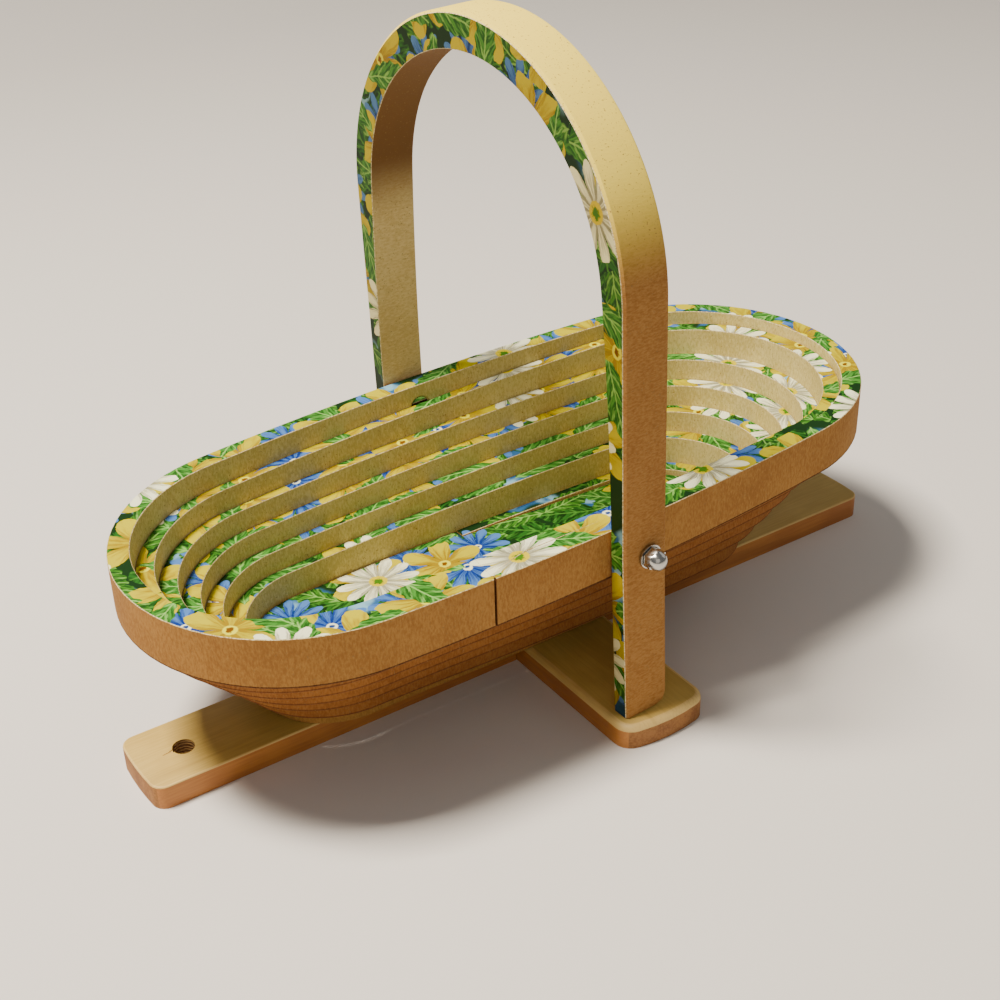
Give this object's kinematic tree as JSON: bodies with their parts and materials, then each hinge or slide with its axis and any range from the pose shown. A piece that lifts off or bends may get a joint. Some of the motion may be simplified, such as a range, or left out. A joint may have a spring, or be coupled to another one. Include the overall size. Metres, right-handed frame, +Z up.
{
  "type": "collapsible basket",
  "caption": "Oval wooden basket sawn as one spiral from a flat board, hanging open over a cross-shaped foot, with a printed floral face, a hoop handle and domed nuts at its pivots.",
  "frame": {"origin": "on the floor under the middle of the oval rim, on the underside of the crosspiece", "axes": "+X along the basket, away from the end with the hang hole, +Y across it to the far side, +Z up"},
  "size_m": [0.33, 0.1708, 0.2421],
  "materials": {
    "printed_board": "sawn fibreboard with a printed face",
    "pine": "satin",
    "plated_steel": "polished"
  },
  "bodies": {
    "base": {"foot_long_bar": "pine", "foot_crosspiece": "pine", "foot_screw_left": "plated_steel", "foot_screw_middle": "plated_steel", "foot_screw_right": "plated_steel", "bottom_slat": "printed_board"},
    "rim": {"rim": "printed_board"},
    "turn_2": {"spiral_turn_2": "printed_board"},
    "turn_3": {"spiral_turn_3": "printed_board"},
    "turn_4": {"spiral_turn_4": "printed_board"},
    "turn_5": {"spiral_turn_5": "printed_board"},
    "turn_6": {"spiral_turn_6": "printed_board"},
    "turn_7": {"spiral_turn_7": "printed_board"},
    "handle": {"handle": "printed_board", "pivot_bolt_near": "plated_steel", "pivot_bolt_far": "plated_steel", "spacer_washer_near": "plated_steel", "spacer_washer_far": "plated_steel", "nut_washer_near": "plated_steel", "nut_washer_far": "plated_steel", "cap_nut_near": "plated_steel", "cap_nut_far": "plated_steel"}
  },
  "joints": [
    {"name": "basket_lift", "type": "slide", "parent": "base", "child": "rim", "axis": [0, 0, 1], "range_m": [0, 0.012]},
    {"name": "turn_2_stretch", "type": "slide", "parent": "base", "child": "turn_2", "axis": [0, 0, 1], "range_m": [0, 0.01092]},
    {"name": "turn_3_stretch", "type": "slide", "parent": "base", "child": "turn_3", "axis": [0, 0, 1], "range_m": [0, 0.00876]},
    {"name": "turn_4_stretch", "type": "slide", "parent": "base", "child": "turn_4", "axis": [0, 0, 1], "range_m": [0, 0.0066]},
    {"name": "turn_5_stretch", "type": "slide", "parent": "base", "child": "turn_5", "axis": [0, 0, 1], "range_m": [0, 0.00444]},
    {"name": "turn_6_stretch", "type": "slide", "parent": "base", "child": "turn_6", "axis": [0, 0, 1], "range_m": [0, 0.00228]},
    {"name": "turn_7_stretch", "type": "slide", "parent": "base", "child": "turn_7", "axis": [0, 0, 1], "range_m": [0, 0.00072]},
    {"name": "handle_fold", "type": "hinge", "parent": "rim", "child": "handle", "pos_m": [0, 0, 0.0745], "axis": [0, 1, 0], "range_deg": [0, 90.5]}
  ],
  "couplings": [
    {"joint": "turn_2_stretch", "follows": "basket_lift", "ratio": 0.91},
    {"joint": "turn_3_stretch", "follows": "basket_lift", "ratio": 0.73},
    {"joint": "turn_4_stretch", "follows": "basket_lift", "ratio": 0.55},
    {"joint": "turn_5_stretch", "follows": "basket_lift", "ratio": 0.37},
    {"joint": "turn_6_stretch", "follows": "basket_lift", "ratio": 0.19},
    {"joint": "turn_7_stretch", "follows": "basket_lift", "ratio": 0.06}
  ]
}
